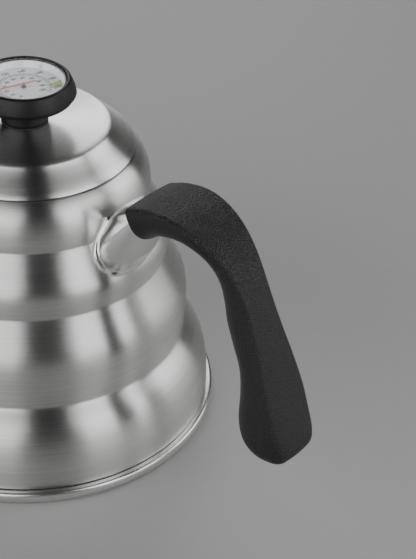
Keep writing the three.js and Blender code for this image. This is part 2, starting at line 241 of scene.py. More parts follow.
body_steel = turned_steel("body_steel", (0.62, 0.616, 0.608), 0.32, 0.94, 2300)
lid_steel = turned_steel("lid_steel", (0.64, 0.636, 0.628), 0.31, 0.92, 2300)
rim_steel = turned_steel("rim_steel", (0.68, 0.675, 0.666), 0.27, 0.6, 3200, 0.08)
print("turned steel finishes:", body_steel.name, lid_steel.name, rim_steel.name)

# %% [markdown]
# ## Polished and plain steel
# The bracket is polished by hand, so it has hardly any direction: a soft wander in its
# roughness is enough. The spout is satin along its length. Inner parts are left as they
# come from the mill, a little duller and spotted.

# %% Other metals
def plain_metal(name, color, roughness, wander, size, depth=0.01):
    """Metal with no brushing direction. size, the spacing of its marks, and depth are in mm."""
    metal = Finish(name, color, roughness, 1.0)
    point = metal.place()[0]
    soft = metal.noise(point, 1 / (size * MM), 3.0, 0.55)
    specks = metal.noise(point, 9 / (size * MM), 2.0, 0.6)
    tone = soft * 0.7 + specks * 0.3
    metal.set("Roughness", roughness - wander / 2 + tone * wander)
    metal.set("Base Color", metal.blend_colors(
        tone, shaded(color, 0.93), shaded(color, 1.05)))
    metal.bump(specks, depth * MM, 0.3)
    return metal.material


bracket_steel = plain_metal("bracket_steel", (0.86, 0.855, 0.85), 0.21, 0.05, 20, 0.003)
spout_steel = plain_metal("spout_steel", (0.68, 0.675, 0.665), 0.26, 0.12, 6)
inner_steel = plain_metal("inner_steel", (0.50, 0.495, 0.485), 0.38, 0.16, 4)
probe_steel = plain_metal("probe_steel", (0.72, 0.715, 0.71), 0.20, 0.08, 3)
brass = plain_metal("brass", (0.62, 0.44, 0.18), 0.30, 0.12, 3)
bimetal = plain_metal("bimetal", (0.36, 0.30, 0.21), 0.40, 0.12, 2)
print("plain metals ready")

# %% [markdown]
# ## Moulded plastic
# The handle's skin has a fine pebble: rounded grains about half a millimetre across, cast
# from an etched mould. Voronoi distance gives round grains, and a second noise makes them
# uneven. Black plastic is never quite black, and its colour follows the grain's height:
# lighter on the tops and darker in the pits between them. The same finish with a shallow
# grain serves rubber, the white bezel, red paint and ink.

# %% Plastics, rubber and paint
def moulded(name, color, roughness, grain, depth, uneven=0.3, shine=0.35):
    """A moulded or painted surface. grain, the pebble's spacing, and depth are in mm."""
    plastic = Finish(name, color, roughness)
    point = plastic.place()[0]
    pebbles = plastic.node("TexVoronoi", {"feature": "SMOOTH_F1"}, {
        "Vector": point, "Scale": 1 / (grain * MM), "Smoothness": 0.35, "Randomness": 1.0})
    patches = plastic.noise(point, 0.45 / (grain * MM), 2.0, 0.6)
    height = (1 - pebbles) * (1 - uneven) + patches * uneven
    plastic.set("Base Color", plastic.blend_colors(
        height, tuple(c * 0.6 for c in color), tuple(c * 1.6 for c in color)))
    plastic.set("Roughness", roughness + 0.10 - height * 0.20)
    plastic.bump(height, depth * MM, 0.9)
    plastic.set("Specular IOR Level", shine)
    return plastic.material


handle_plastic = moulded("handle_plastic", (0.0035, 0.0035, 0.004), 0.39, 0.48, 0.4, 0.12, 0.42)
knob_plastic = moulded("knob_plastic", (0.006, 0.006, 0.0065), 0.44, 0.5, 0.06, 0.6)
rubber = moulded("rubber", (0.018, 0.018, 0.018), 0.75, 0.6, 0.03)
bezel_white = moulded("bezel_white", (0.84, 0.86, 0.87), 0.30, 1.2, 0.004)
needle_red = moulded("needle_red", (0.60, 0.012, 0.02), 0.42, 0.6, 0.003)
dial_ink = moulded("dial_ink", (0.012, 0.014, 0.017), 0.70, 0.4, 0.002, 0.3, 0.05)
print("moulded finishes ready")

# %% [markdown]
# ## Glass
# The lens is flat and thin, so it hardly bends light, but it does reflect a few per cent.
# A real glass shader would darken the dial behind it. A mirror that is nearly all cut away
# by Alpha keeps the dial bright and leaves the faint, crisp reflection.

# %% Glass
REFLECTED_SHARE = 0.03
GLASS_ROUGHNESS = 0.03


def lens_glass():
    """A faint mirror: the share of light that it reflects is its Alpha."""
    glass = Finish("lens_glass", (0.95, 0.97, 1.0), GLASS_ROUGHNESS, 1.0, Alpha=REFLECTED_SHARE)
    smudges = glass.noise(glass.place()[0], 300.0)
    glass.set("Roughness", GLASS_ROUGHNESS + smudges * GLASS_ROUGHNESS)
    return glass.material


glass = lens_glass()
print("glass:", glass.name)

# %% [markdown]
# ## Dial paint
# The dial is white with a green wedge where coffee water should be, and a fine green line
# that leads to it. Both lie on one direction from the centre. The distance to each side of
# that direction is compared with the distance along it, which needs no image. A thin grey
# ring divides the outer scale from the inner one.

# %% Dial paint
SWEEP = 281.0                       # degrees of dial from 0 to 100 degrees C
COLD_READING = 20.0                 # what the pointer shows at rest
NEEDLE_REST = -109.0                # the pointer's direction at rest, degrees from +X
SCALE_START = NEEDLE_REST + COLD_READING * SWEEP / 100


def dial_angle(reading):
    """Direction of a reading on the dial, in degrees; the scale runs clockwise."""
    return SCALE_START - reading * SWEEP / 100


WHITE, GREEN, GREY = (0.88, 0.92, 0.95), (0.30, 0.56, 0.02), (0.24, 0.27, 0.29)
COFFEE_READING = 90.0
WEDGE_POINT, WEDGE_SLOPE = 8.6 * MM, 0.6        # where the wedge starts, how fast it widens
STEM_START, STEM_HALF_WIDTH, STEM_STRENGTH = 1.8 * MM, 0.28 * MM, 0.55
RING_INSIDE, RING_OUTSIDE, RING_STRENGTH = 8.95 * MM, 9.15 * MM, 0.6


def dial_paint():
    """White paint with the green wedge, its stem and the grey ring."""
    paint = Finish("dial_white", WHITE, 0.55, Specular_IOR_Level=0.1)
    point, x, y, _ = paint.place()
    middle = math.radians(dial_angle(COFFEE_READING))
    along = x * math.cos(middle) + y * math.sin(middle)
    side = y * math.cos(middle) - x * math.sin(middle)
    aside = side.maths("ABSOLUTE", side)
    wedge = aside.below((along - WEDGE_POINT) * WEDGE_SLOPE)
    stem = aside.below(STEM_HALF_WIDTH) * along.above(STEM_START)
    greened = wedge.maths("MAXIMUM", wedge, stem * STEM_STRENGTH)
    radius = (x * x + y * y).root()
    ring = radius.above(RING_INSIDE) * radius.below(RING_OUTSIDE)
    tone = paint.noise(point, 700.0, 2.0)
    base = paint.blend_colors(tone, shaded(WHITE, 0.97), WHITE)
    ringed = paint.blend_colors(ring * RING_STRENGTH, base, GREY)
    paint.set("Base Color", paint.blend_colors(greened, ringed, GREEN))
    paint.set("Roughness", 0.52 + tone * 0.08)
    return paint.material


dial_white = dial_paint()
print("scale from", round(dial_angle(0)), "to", round(dial_angle(100)), "degrees")

# %% [markdown]
# ## Making meshes
# Every finished piece is one closed mesh whose faces point outwards, with its place in the
# mesh and its object at the origin. `settle` checks that, smooths the round parts, keeps
# sharp edges sharp, places the piece on the body it rides on and hides the imported parts it
# stands for.

# %% Mesh helpers
def object_from(name, mesh):
    made = bpy.data.objects.new(name, mesh)
    bpy.context.scene.collection.objects.link(made)
    return made


def object_from_shape(name, shape, finish):
    """Turn an edited shape into an object with one finish."""
    mesh = bpy.data.meshes.new(name)
    shape.to_mesh(mesh)
    shape.free()
    mesh.materials.append(finish)
    return object_from(name, mesh)


def measured(mesh):
    """A mesh's volume in cubic metres, negative inside out, and its number of open edges."""
    shape = bmesh.new()
    shape.from_mesh(mesh)
    volume = shape.calc_volume(signed=True)
    open_edges = sum(1 for edge in shape.edges if len(edge.link_faces) != 2)
    shape.free()
    return volume, open_edges


def outwards(piece):
    """Make a closed mesh's faces point outwards."""
    if measured(piece.data)[0] < 0:
        piece.data.flip_normals()
    return piece


def settle(piece, body, nodes, sharp=32):
    """Check a finished mesh, shade it and place it on its body."""
    mesh = outwards(piece).data
    volume, open_edges = measured(mesh)
    mesh.shade_smooth()
    mesh.set_sharp_from_angle(angle=math.radians(sharp))
    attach(piece, body)
    if nodes:
        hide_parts(*nodes)
    print(f"{piece.name}: {len(mesh.polygons)} faces, {volume * 1e6:.2f} cm3, "
          f"{open_edges} open edges")
    return piece


def plain_mesh(piece):
    """The mesh that an object's modifiers or its text make."""
    graph = bpy.context.evaluated_depsgraph_get()
    return bpy.data.meshes.new_from_object(piece.evaluated_get(graph), depsgraph=graph)


def baked(piece):
    """Turn an object with modifiers into a plain mesh object of the same name."""
    mesh = plain_mesh(piece)
    piece.modifiers.clear()
    old = piece.data
    piece.data = mesh
    if old.users == 0:
        bpy.data.meshes.remove(old)
    mesh.name = piece.name
    return piece


print("mesh helpers ready")

# %% [markdown]
# ## Turning a profile with Geometry Nodes
# A lathe turns an outline about an axis. In Geometry Nodes that is a profile swept round a
# circle: the outline becomes a curve, the circle carries it round, and points that meet on
# the axis are merged. One tree serves every round piece; its inputs are the number of steps
# round the axis and the finish.

# %% The lathe tree
def node_tree(name, inputs):
    """A geometry tree with named inputs, each (name, socket type, default)."""
    tree = bpy.data.node_groups.new(name, "GeometryNodeTree")
    tree.interface.new_socket("Geometry", in_out="INPUT", socket_type="NodeSocketGeometry")
    for label, kind, default in inputs:
        socket = tree.interface.new_socket(label, in_out="INPUT",
                                           socket_type="NodeSocket" + kind)
        if default is not None:
            socket.default_value = default
    tree.interface.new_socket("Geometry", in_out="OUTPUT", socket_type="NodeSocketGeometry")
    return tree, tree.nodes.new("NodeGroupInput"), tree.nodes.new("NodeGroupOutput")


def tree_node(tree, kind, settings=None, inputs=None):
    """Add a node; inputs are values or output sockets, by name or number."""
    made = tree.nodes.new(kind)
    for name, value in (settings or {}).items():
        setattr(made, name, value)
    for name, value in (inputs or {}).items():
        if isinstance(value, bpy.types.NodeSocket):
            tree.links.new(value, made.inputs[name])
        else:
            made.inputs[name].default_value = value
    return made


def close_tree(tree, result, geometry, finish):
    """End a tree: instances become real geometry, which gets its finish."""
    whole = tree_node(tree, "GeometryNodeRealizeInstances", inputs={0: geometry})
    painted = tree_node(tree, "GeometryNodeSetMaterial", inputs={
        "Geometry": whole.outputs[0], "Material": finish})
    tree.links.new(painted.outputs[0], result.inputs[0])
    return tree


def apply_tree(piece, tree, values):
    """Run a tree on an object with these input values and keep the plain result."""
    modifier = piece.modifiers.new(tree.name, "NODES")
    modifier.node_group = tree
    names = {item.name: item.identifier for item in tree.interface.items_tree
             if item.item_type == "SOCKET" and item.in_out == "INPUT"}
    for label, value in values.items():
        modifier[names[label]] = value
    return baked(piece)


AXIS_CIRCLE = 0.01 * MM      # radius of the circle that carries the profile
AXIS_MERGE = 0.004 * MM      # points nearer than this become one


def lathe_tree():
    """Sweep a profile round a small circle and merge what meets on the axis."""
    tree, given, result = node_tree("lathe", [
        ("Steps", "Int", 160), ("Finish", "Material", None)])
    profile = tree_node(tree, "GeometryNodeMeshToCurve", inputs={0: given.outputs["Geometry"]})
    circle = tree_node(tree, "GeometryNodeCurvePrimitiveCircle", inputs={
        "Resolution": given.outputs["Steps"], "Radius": AXIS_CIRCLE})
    swept = tree_node(tree, "GeometryNodeCurveToMesh", inputs={
        "Curve": circle.outputs[0], "Profile Curve": profile.outputs[0]})
    merged = tree_node(tree, "GeometryNodeMergeByDistance", inputs={
        "Geometry": swept.outputs[0], "Distance": AXIS_MERGE})
    return close_tree(tree, result, merged.outputs[0], given.outputs["Finish"])


LATHE = lathe_tree()


def turned(name, profile, finish, steps=160):
    """Turn a closed outline of (radius, height) points in millimetres about the Z axis."""
    edges = []
    for i, (here, following) in enumerate(zip(profile, [*profile[1:], profile[0]])):
        if here[0] > 0 or following[0] > 0:
            edges.append((i, (i + 1) % len(profile)))
    mesh = bpy.data.meshes.new(name)
    mesh.from_pydata([(r * MM - AXIS_CIRCLE, -z * MM, 0.0) for r, z in profile], edges, [])
    return apply_tree(object_from(name, mesh), LATHE, {"Steps": steps, "Finish": finish})


print("lathe tree:", len(LATHE.nodes), "nodes")

# %% [markdown]
# ## Outlines
# A profile is a list of (radius, height) points in millimetres. Two things make it look
# made rather than drawn. Pressed walls follow smooth curves between their folds, and every
# fold and edge has a small radius that catches a line of light.

# %% Outline helpers
def curved(start, *curves, steps=24):
    """Follow Bezier curves given as (control 1, control 2, end) from a start point."""
    points = [Vector(start)]
    for c1, c2, end in curves:
        a, b, c, d = points[-1], Vector(c1), Vector(c2), Vector(end)
        for k in range(1, steps + 1):
            t = k / steps
            points.append((a * (1 - t) + b * 3 * t) * (1 - t) ** 2
                          + (c * 3 * (1 - t) + d * t) * t ** 2)
    return points


def eased(points, radius, least=8, closed=True, steps=6):
    """Round every corner that turns by more than `least` degrees."""
    points = [Vector(p) for p in points]
    result = []
    for i, here in enumerate(points):
        if not closed and i in (0, len(points) - 1):
            result.append(here)
            continue
        before = points[i - 1] - here
        after = points[(i + 1) % len(points)] - here
        turn = math.pi - before.angle(after, math.pi)
        if turn < math.radians(least) or here.x < 0.001:
            result.append(here)
            continue
        reach = min(radius * math.tan(turn / 2), before.length * 0.45, after.length * 0.45)
        a, b = here + before.normalized() * reach, here + after.normalized() * reach
        for k in range(steps + 1):
            t = k / steps
            result.append(a * (1 - t) ** 2 + here * 2 * t * (1 - t) + b * t * t)
    return result


def heading(points, i):
    """The direction of a line at its point i, taken from the points on each side."""
    return (points[min(i + 1, len(points) - 1)] - points[max(i - 1, 0)]).normalized()


def inset(points, distance):
    """Move an open outline to its left by a distance."""
    ways = [heading(points, i) for i in range(len(points))]
    return [here + Vector((-way.y, way.x)) * distance for here, way in zip(points, ways)]


def round_piece(name, body, nodes, profile, finish, steps=160, edge=0.15):
    """A turned piece from a closed profile in millimetres, with eased edges."""
    piece = turned(name, eased(profile, edge, 25), finish, steps)
    return settle(piece, body, nodes)


def band(inner, outer, bottom, top):
    """The profile of a plain ring; an inner radius of 0 makes a disc."""
    return [(inner, bottom), (outer, bottom), (outer, top), (inner, top)]


print("outline helpers ready")

# %% [markdown]
# ## Body
# Four pressed tiers, each a gentle S that ends in a fold. They could be joined from four
# pieces, but a real body is one drawn sheet, so one profile carries all four and folds to
# an inner wall 0.8 mm behind it.

# %% Body profile
WALL = 0.8
FOLD_RADIUS, EDGE_RADIUS = 2.6, 0.45   # of the folds between tiers and of a sheet's edge
FOOT = (69.3, 5.2)
TIERS = (                    # control 1, control 2 and end of each tier's curve
    ((70.8, 30.2), (58.1, 33.0), (59.6, 36.0)),
    ((61.4, 56.9), (59.8, 53.3), (52.3, 69.0)),
    ((54.6, 81.1), (52.8, 78.4), (45.5, 92.8)),
    ((46.6, 100.5), (44.2, 107.0), (39.6, 110.35)),
)
body_outside = eased(curved(FOOT, *TIERS, steps=30), FOLD_RADIUS, closed=False)
body_inside = inset(body_outside, WALL)
body_inside[0].y, body_inside[-1].y = FOOT[1], TIERS[-1][-1][1]


def body_radius(height):
    """Outside radius of the body at a height, in millimetres."""
    for low, high in zip(body_outside, body_outside[1:]):
        if low.y <= height <= high.y and high.y > low.y:
            share = (height - low.y) / (high.y - low.y)
            return low.x + (high.x - low.x) * share
    return body_outside[0].x if height < FOOT[1] else body_outside[-1].x


print("body radius at mid height:", round(body_radius(55), 1), "mm,",
      len(body_outside), "profile points")

# %% [markdown]
# ## Sections and skins
# The spout, the bracket and the grip aren't turned. Each is a row of sections with a skin
# over them. The sections follow smooth lines through a few measured points, so the shape is
# held by a short list that a person can read and change.

# %% Skin helpers
def smooth_line(points, per_span, power=0.5):
    """A curve through every point (Catmull-Rom). power 0.5 suits uneven spacing."""
    given = [Vector(p) for p in points]
    padded = [given[0] * 2 - given[1], *given, given[-1] * 2 - given[-2]]
    result = []
    for a, b, c, d in zip(padded, padded[1:], padded[2:], padded[3:]):
        t1 = (b - a).length ** power
        t2 = t1 + (c - b).length ** power
        t3 = t2 + (d - c).length ** power
        for k in range(per_span):
            t = t1 + (t2 - t1) * k / per_span
            ab, bc = a.lerp(b, t / t1), b.lerp(c, (t - t1) / (t2 - t1))
            cd = c.lerp(d, (t - t2) / (t3 - t2))
            first = ab.lerp(bc, t / t2)
            second = bc.lerp(cd, (t - t1) / (t3 - t1))
            result.append(first.lerp(second, (t - t1) / (t2 - t1)))
    return [*result, given[-1]]


def mirrored(half):
    """Close half an outline, which runs from its middle to its middle, with its mirror."""
    return [*half, *[Vector((-p.x, p.y)) for p in reversed(half[1:-1])]]


def skinned(name, rings, finish, looped=False):
    """Skin a row of rings of millimetre points. looped joins the last ring to the first;
    otherwise both ends are closed with a flat face."""
    sides, count = len(rings[0]), len(rings)
    faces = []
    for i in range(count if looped else count - 1):
        a, b = i * sides, ((i + 1) % count) * sides
        for k in range(sides):
            n = (k + 1) % sides
            faces.append((a + k, a + n, b + n, b + k))
    if not looped:
        faces.append(tuple(reversed(range(sides))))
        faces.append(tuple(range((count - 1) * sides, count * sides)))
    mesh = bpy.data.meshes.new(name)
    mesh.from_pydata([Vector(p) * MM for ring in rings for p in ring], [], faces)
    mesh.materials.append(finish)
    mesh.update()
    return object_from(name, mesh)


def cut(piece, *tools):
    """Take the tools' solids away from a piece, then remove the tools."""
    outwards(piece)
    for tool in tools:
        step = piece.modifiers.new("cut", "BOOLEAN")
        step.operation, step.solver, step.object = "DIFFERENCE", "EXACT", outwards(tool)
    baked(piece)
    for tool in tools:
        bpy.data.objects.remove(tool)
    return piece


print("skin helpers ready")

# %% [markdown]
# ## Spout
# The gooseneck is a tapering tube. Its line climbs from low on the body, so the last of the
# water can leave, and its narrow end slows the stream. Where it meets the body the weld is
# dressed to a small flare, so the radius grows as the skin nears the body's surface.

# %% Spout
SPOUT_LINE = (               # x, z and outer radius along the middle of the tube
    (-56.0, 33.0, 12.5), (-70.0, 36.5, 11.2), (-83.0, 45.0, 9.3), (-92.0, 59.0, 7.6),
    (-98.5, 76.0, 6.5), (-106.5, 93.0, 5.8), (-119.0, 104.5, 5.3), (-132.0, 107.0, 5.0),
    (-142.0, 104.5, 4.9),
)
SPOUT_ROOT = (-50.0, 31.5, 12.5)   # inside the body, where the core cuts it off
WELD_FLARE, WELD_REACH = 1.8, 4.5  # widening at the body, and how far from it that starts
WELD_DEPTH = 0.35                  # how deep in the body's wall the spout ends
LIP_LENGTH, LIP_SWELL = 0.45, 0.12 # how far the round lip stands out and widens
CORE_BOTTOM, CORE_TOP = 8, 110     # heights of the solid that cuts the spout's root
BORE_RINGS = 24                    # rings from the root that the body's hole needs


def tube_ring(at, along, radius, sides=64, flare=0.0):
    """A round section; flare widens it near the body's surface."""
    up = Vector((-along.z, 0, along.x))
    ring = []
    for k in range(sides):
        angle = math.tau * k / sides
        way = up * math.cos(angle) + Vector((0, math.sin(angle), 0))
        point = at + way * radius
        clear = math.hypot(point.x, point.y) - body_radius(point.z)
        near = min(max(1 - clear / WELD_REACH, 0), 1)
        ring.append(point + way * flare * near ** 2)
    return ring


def spout_rings():
    """Outer skin, round lip and inner skin, in the order that the tube's surface has."""
    line = smooth_line([SPOUT_ROOT, *SPOUT_LINE], 10)
    places = [Vector((x, 0, z)) for x, z, _ in line]
    outer, inner = [], []
    for i, (_, _, radius) in enumerate(line):
        along = heading(places, i)
        outer.append(tube_ring(places[i], along, radius, flare=WELD_FLARE))
        inner.append(tube_ring(places[i], along, radius - WALL))
    lip = []
    for k in range(9):
        angle = math.pi * k / 8
        swing = (WALL / 2 + LIP_SWELL) * math.cos(angle)
        lip.append(tube_ring(places[-1] + along * LIP_LENGTH * math.sin(angle), along,
                             radius - WALL / 2 + swing))
    return outer, lip, inner


outer_rings, lip_rings, inner_rings = spout_rings()
core = inset(body_outside, WELD_DEPTH)
core_profile = [(0, CORE_BOTTOM), (core[0].x, CORE_BOTTOM),
                *[tuple(p) for p in core if p.y > CORE_BOTTOM], (0, CORE_TOP)]
spout = skinned("spout", [*outer_rings, *lip_rings, *reversed(inner_rings)], spout_steel, True)
spout = cut(spout, turned("body_core", core_profile, spout_steel, 96))
settle(spout, "kettle", ["spout_tube"])

# %% [markdown]
# The body gets its hole for the spout from the same inner skin, so water runs through
# without a step.

# %% Body shell
shell_profile = eased([*body_outside, *reversed(body_inside)], EDGE_RADIUS, 50)
body = turned("body", shell_profile, body_steel, 192)
body = cut(body, skinned("spout_bore", inner_rings[:BORE_RINGS], inner_steel))
settle(body, "kettle", ["body_shell"], sharp=40)

# %% [markdown]
# ## Base, rim and mouth
# The rolled rim is what the kettle stands on. It is polished, and a dark line of shadow
# parts it from the body. The base is a thick disc with shallow turned rings, as a heat
# spreader has. A short ring stiffens the mouth.

# %% Base, rim and mouth
rim_curve = curved((68.1, 0), ((70.6, 0), (72, 0.5), (72, 2.6)),
                   ((72, 4.2), (71.6, 4.9), (70.6, 4.9)), steps=14)
round_piece("base_bead", "kettle", ["base_rim"],
            [*rim_curve, (68.1, 4.9)], rim_steel, 192)
base_rings = [(0, 0.25), (14, 0.25), (14.4, 0.0)]
for groove in (26, 38, 50):          # radius of each turned ring
    base_rings += [(groove - 0.5, 0), (groove, 0.22), (groove + 0.5, 0)]
round_piece("base_disc", "kettle", ["base_plate"],
            [*base_rings, (66.5, 0), (67.7, 1.2), (67.7, 3), (0, 3)], inner_steel, 192)
round_piece("mouth_band", "kettle", ["mouth_ring"],
            [(37.2, 103.4), (38.0, 103.4), (38.0, 109.6), (38.6, 109.6), (38.6, 110.4),
             (37.2, 110.4)], body_steel, 160)

# %% [markdown]
# ## Bracket
# The steel bowl that carries the handle has a flat top with a ridge at each side, and a
# round bottom. It starts with a flange at the body and a groove beside it, swells, and
# closes in where the handle covers it. Each line along it starts where it meets the body's
# curved surface, so the flange has one width all round. Its root is hidden in the wall.

# %% Bracket
# Each face has its top and bottom point (x, z), its half width, and its outline's shape:
# the ridge's place across, its fall, the depth of the widest place, and the fullness.
FOOT_FACE = {"top": (45.3, 100.2), "bottom": (52.6, 80.7), "half": 12.4,
             "shape": (0.44, 0.0, 0.50, 0.66)}
END_FACE = {"top": (58.7, 113.6), "bottom": (63.7, 100.0), "half": 11.2,
            "shape": (0.95, 0.28, 0.46, 0.46)}
SWELL = (                    # share of the way to the handle, growth of the section in mm
    (0.005, 1.1), (0.018, 1.08), (0.034, 0.94), (0.045, 0.66), (0.055, 0.30),
    (0.066, 0.08), (0.080, 0.12), (0.12, 0.55), (0.21, 1.05), (0.34, 1.35), (0.5, 1.25),
    (0.66, 0.85), (0.8, 0.42), (0.9, 0.12), (0.955, 0.0), (0.97, -0.12),
)
FLANGE_GROWTH, INNER_GROWTH = SWELL[0][1], -1.2
ROOT_DEPTH = 0.45            # how deep in the body's wall the bracket ends
INNER_STATIONS = (0.965, 0.7, 0.4, 0.1)


def bowl_outline(ridge, fall, widest, fullness, steps=12):
    """Half an outline, mirrored: flat top, ridge, side, round bottom, as (across, depth)."""
    flank = widest + (1 - widest) * fullness
    top = curved((0, 0), ((ridge * 0.6, 0), (ridge * 0.97, fall * 0.1), (ridge, fall)), steps=6)
    side = curved((ridge, fall),
                  ((ridge + (1 - ridge) * 0.45, fall + (widest - fall) * 0.30),
                   (1, fall + (widest - fall) * 0.62), (1, widest)),
                  ((1, flank), (fullness, 1), (0, 1)), steps=steps)
    return mirrored([*top, *side[1:]])


def bowl_point(k, share, growth):
    """One point of the bowl's section at a share of the way along it."""
    blend = min(max(share, 0), 1)
    shape = tuple(a + (b - a) * blend for a, b in zip(FOOT_FACE["shape"], END_FACE["shape"]))
    if shape not in known_outlines:
        known_outlines[shape] = bowl_outline(*shape)
    across, depth = known_outlines[shape][k]
    top = Vector(FOOT_FACE["top"]).lerp(Vector(END_FACE["top"]), share)
    bottom = Vector(FOOT_FACE["bottom"]).lerp(Vector(END_FACE["bottom"]), share)
    half = FOOT_FACE["half"] + (END_FACE["half"] - FOOT_FACE["half"]) * blend + growth
    reach = growth / (top - bottom).length
    x, z = top.lerp(bottom, -reach + (1 + 2 * reach) * depth)
    return Vector((x, across * half, z))


known_outlines = {}
BOWL_SIDES = len(bowl_outline(*FOOT_FACE["shape"]))


def body_meeting(k, growth=0.0, sink=0.0):
    """The share at which line k of the bowl is sink millimetres inside the body."""
    low, high = -0.4, 0.8
    for _ in range(26):      # each turn halves the stretch that holds the answer
        middle = (low + high) / 2
        point = bowl_point(k, middle, growth)
        if math.hypot(point.x, point.y) < body_radius(point.z) - sink:
            low = middle
        else:
            high = middle
    return low


meetings = [body_meeting(k) for k in range(BOWL_SIDES)]


def bowl_ring(station, growth):
    """A section at a station that is 0 at the body's surface and 1 at the handle."""
    return [bowl_point(k, start + station * (1 - start), growth)
            for k, start in enumerate(meetings)]


def root_ring(growth):
    """The ring hidden in the thickness of the body's wall."""
    return [bowl_point(k, body_meeting(k, growth, ROOT_DEPTH), growth)
            for k in range(BOWL_SIDES)]


bowl_rings = [root_ring(FLANGE_GROWTH)]
bowl_rings += [bowl_ring(station, growth) for station, growth in smooth_line(SWELL, 4)]
bowl_rings += [bowl_ring(station, INNER_GROWTH) for station in INNER_STATIONS]
bowl_rings.append(root_ring(INNER_GROWTH))
bracket = skinned("bracket", bowl_rings, bracket_steel, True)
settle(bracket, "kettle", ["handle_bracket"])
print("bowl meets the body between shares", round(min(meetings), 2), round(max(meetings), 2))

# %% [markdown]
# ## Handle
# The grip is one moulding. Its outer face is broad and nearly flat between two ridges, and
# its sides close in to a round inner face, so a hand finds its place. The sections are
# given by an outer point, an inner point and a half width.

# %% Handle grip
GRIP_SECTIONS = (            # outer x, z; inner x, z; half width
    (58.9, 113.9, 64.2, 99.6, 12.7), (67.5, 117.3, 70.5, 104.0, 12.7),
    (77.5, 118.4, 78.5, 106.4, 12.6), (87.0, 116.0, 85.5, 106.3, 11.8),
    (95.5, 111.5, 91.2, 103.0, 10.0), (102.2, 105.0, 94.8, 97.2, 8.4),
    (107.0, 97.5, 96.6, 89.6, 7.6), (111.5, 88.5, 97.9, 81.8, 7.6),
    (115.5, 79.5, 101.2, 74.2, 8.4), (119.2, 70.5, 105.2, 66.0, 9.6),
    (122.8, 61.0, 106.4, 56.4, 10.8), (126.5, 51.5, 106.6, 46.6, 11.6),
    (129.7, 43.0, 108.8, 39.6, 11.6), (130.0, 38.3, 113.4, 35.4, 9.9),
    (126.5, 34.7, 118.0, 33.7, 5.6),
)
SOFT_FROM, SOFT_SPAN, SOFT_LEAST = 58, 20, 0.12   # where the ridges soften, going down
END_DISH, TIP_BULGE = 0.35, 1.1                   # depth of the flat end, height of the tip


def grip_outline(soft, steps=12):
    """The grip's section: a broad face, two ridges, and sides that close in. soft goes
    from 0, a crisp ridge, to 1, a rounded one."""
    flat = 0.87 - 0.32 * soft
    right = [Vector((flat * k / 6, 0.012 - 0.02 * (1 - (k / 6) ** 2))) for k in range(6)]
    right += curved((flat, 0.012), ((0.95, 0.02 + 0.01 * soft), (1.0, 0.05 + 0.10 * soft),
                                    (1.0, 0.15 + 0.22 * soft)),
                    ((0.99, 0.68 + 0.10 * soft), (0.70, 1.0), (0, 1.0)), steps=steps)
    return mirrored(right)


def grip_ring(section, scale=1.0, shift=(0.0, 0.0)):
    """Place the outline between the section's outer and inner points."""
    outer, inner = Vector(section[0:2]), Vector(section[2:4])
    middle = (outer + inner) / 2
    soft = min(max((SOFT_FROM - inner.y) / SOFT_SPAN, SOFT_LEAST), 1)
    ring = []
    for across, depth in grip_outline(soft):
        x, z = middle.lerp(outer.lerp(inner, depth), scale) + Vector(shift)
        ring.append(Vector((x, across * section[4] * scale, z)))
    return ring


grip_line = smooth_line(GRIP_SECTIONS, 9, 0.0)
start, tip = grip_line[0], grip_line[-1]
start_way = (Vector(grip_line[1][0:2]) - Vector(start[0:2])).normalized()
start_cap = [grip_ring(start, scale, start_way * END_DISH * (1 - scale ** 24))
             for scale in (0.02, 0.5, 0.9)]
start_cap += [grip_ring(start, 0.972), grip_ring(start, 0.992, start_way * 0.12)]
tip_cap = [grip_ring(tip, scale, (0, -TIP_BULGE * math.sqrt(1 - scale ** 2)))
           for scale in (0.97, 0.88, 0.74, 0.55, 0.32, 0.08)]
later = [grip_ring(section) for section in grip_line[1:]]
grip = skinned("grip", [*start_cap, *later, *tip_cap], handle_plastic)

SCREW_PLACE = Matrix.Translation((73 * MM, 0, 111.2 * MM)) @ rotation(-14, "Y")


def at_screw(piece):
    """Move a piece modelled about the Z axis to the screw under the handle."""
    piece.data.transform(SCREW_PLACE)
    return piece


screw_well = turned("screw_well", band(0, 3.8, -13, -2.1), handle_plastic, 48)
grip = cut(grip, at_screw(screw_well))
settle(grip, "kettle", ["handle_grip"], sharp=50)

# %% [markdown]
# ## Screw
# One pan-head screw goes up through the underside of the grip. A cross is cut in its head.

# %% Handle screw
SCREW_PROFILE = [(0, -5.2), (2.4, -5.2), (3.4, -4.5), (3.4, -3.0), (1.8, -3.0), (1.8, 4.2),
                 (0, 4.2)]
CROSS = {"length": 1.8, "width": 0.38, "bottom": -5.6, "top": -3.9}
screw = turned("screw", eased(SCREW_PROFILE, 0.25, 25), probe_steel, 64)


def bar(length, width, bottom, top, turn):
    """A box that narrows upwards, for one arm of the cross."""
    corners = ((length, width), (-length, width), (-length, -width), (length, -width))
    spun = Matrix.Rotation(math.radians(turn), 2)
    rings = [[Vector((*(spun @ Vector(c)) * share, height)) for c in corners]
             for height, share in ((bottom, 1.0), (top, 0.55))]
    return skinned("screw_cross", rings, probe_steel)


cut(screw, *(bar(**CROSS, turn=turn) for turn in (20, 110)))
settle(at_screw(screw), "kettle", ["handle_screw"])

# %% [markdown]
# ## Lid
# The lid is a shallow dome with a flat crown, pressed with a tight bend between the two.
# Its skirt drops into the mouth and turns there, so the skirt is its own piece.

